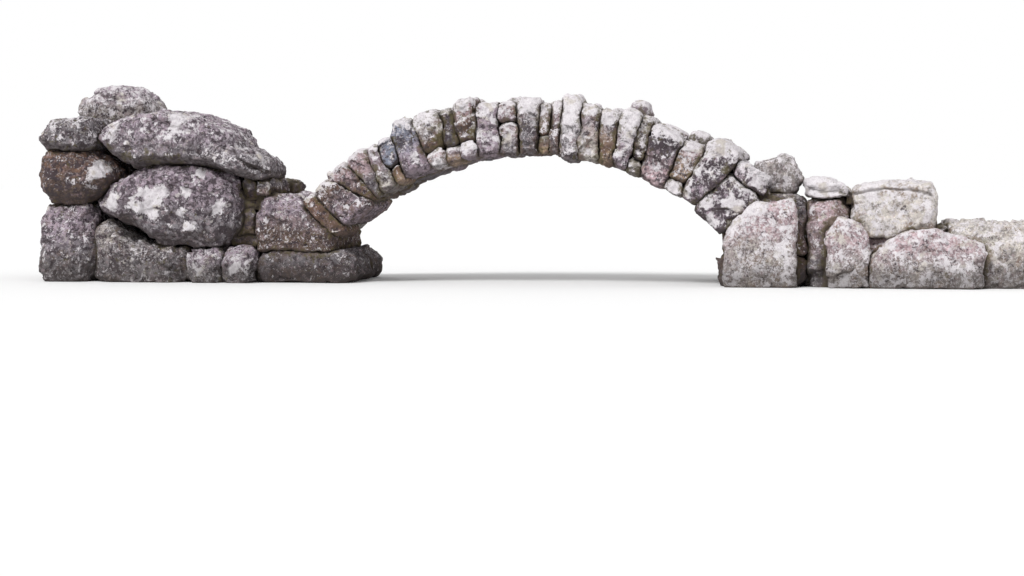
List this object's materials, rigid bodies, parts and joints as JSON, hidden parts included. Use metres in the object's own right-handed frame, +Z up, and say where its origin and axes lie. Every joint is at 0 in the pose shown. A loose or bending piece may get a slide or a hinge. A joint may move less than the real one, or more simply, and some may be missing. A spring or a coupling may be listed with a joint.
{
  "type": "stone arch bridge",
  "caption": "Small dry-stone arch footbridge of rough granite blocks set on edge, with boulder abutments and slab causeways.",
  "frame": {"origin": "mid-span and mid-width of the bridge, on the level that its lowest footings rest on", "axes": "+X along the bridge to the right of the pictured side, +Y through the ring to the far face, +Z up"},
  "size_m": [12.4, 2.1, 2.53],
  "materials": {
    "ring_granite": "weathered granite with pale lichen",
    "boulder_granite": "weathered granite with round lichen patches",
    "slab_granite": "bleached granite",
    "footing_granite": "damp dark granite with moss"
  },
  "bodies": {
    "root": {"keystone": "ring_granite", "left_base_stone_inner": "footing_granite", "left_base_stone_middle": "footing_granite", "left_base_stone_outer": "footing_granite", "left_boulder": "boulder_granite", "left_cap_slab": "boulder_granite", "left_end_base_stone": "footing_granite", "left_end_boulder": "boulder_granite", "left_footing": "footing_granite", "left_shoulder_stone": "boulder_granite", "left_skewback": "footing_granite", "left_tail_slab": "boulder_granite", "left_top_stone": "boulder_granite", "left_voussoir_01": "ring_granite", "left_voussoir_02": "ring_granite", "left_voussoir_03": "ring_granite", "left_voussoir_04": "ring_granite", "left_voussoir_05": "ring_granite", "left_voussoir_06": "ring_granite", "left_voussoir_07": "ring_granite", "left_voussoir_08": "ring_granite", "left_voussoir_09": "ring_granite", "left_voussoir_10": "ring_granite", "left_voussoir_11": "ring_granite", "left_voussoir_12": "ring_granite", "right_bank_stone_inner": "footing_granite", "right_base_stone_outer": "footing_granite", "right_causeway_slab_inner": "slab_granite", "right_causeway_slab_outer": "slab_granite", "right_end_stone": "slab_granite", "right_facing_slabs": "slab_granite", "right_footing": "footing_granite", "right_skewback": "footing_granite", "right_upright_boulder": "slab_granite", "right_voussoir_01": "ring_granite", "right_voussoir_02": "ring_granite", "right_voussoir_03": "ring_granite", "right_voussoir_04": "ring_granite", "right_voussoir_05": "ring_granite", "right_voussoir_06": "ring_granite", "right_voussoir_07": "ring_granite", "right_voussoir_08": "ring_granite", "right_voussoir_09": "ring_granite", "right_voussoir_10": "ring_granite", "right_voussoir_11": "ring_granite"}
  },
  "joints": []
}
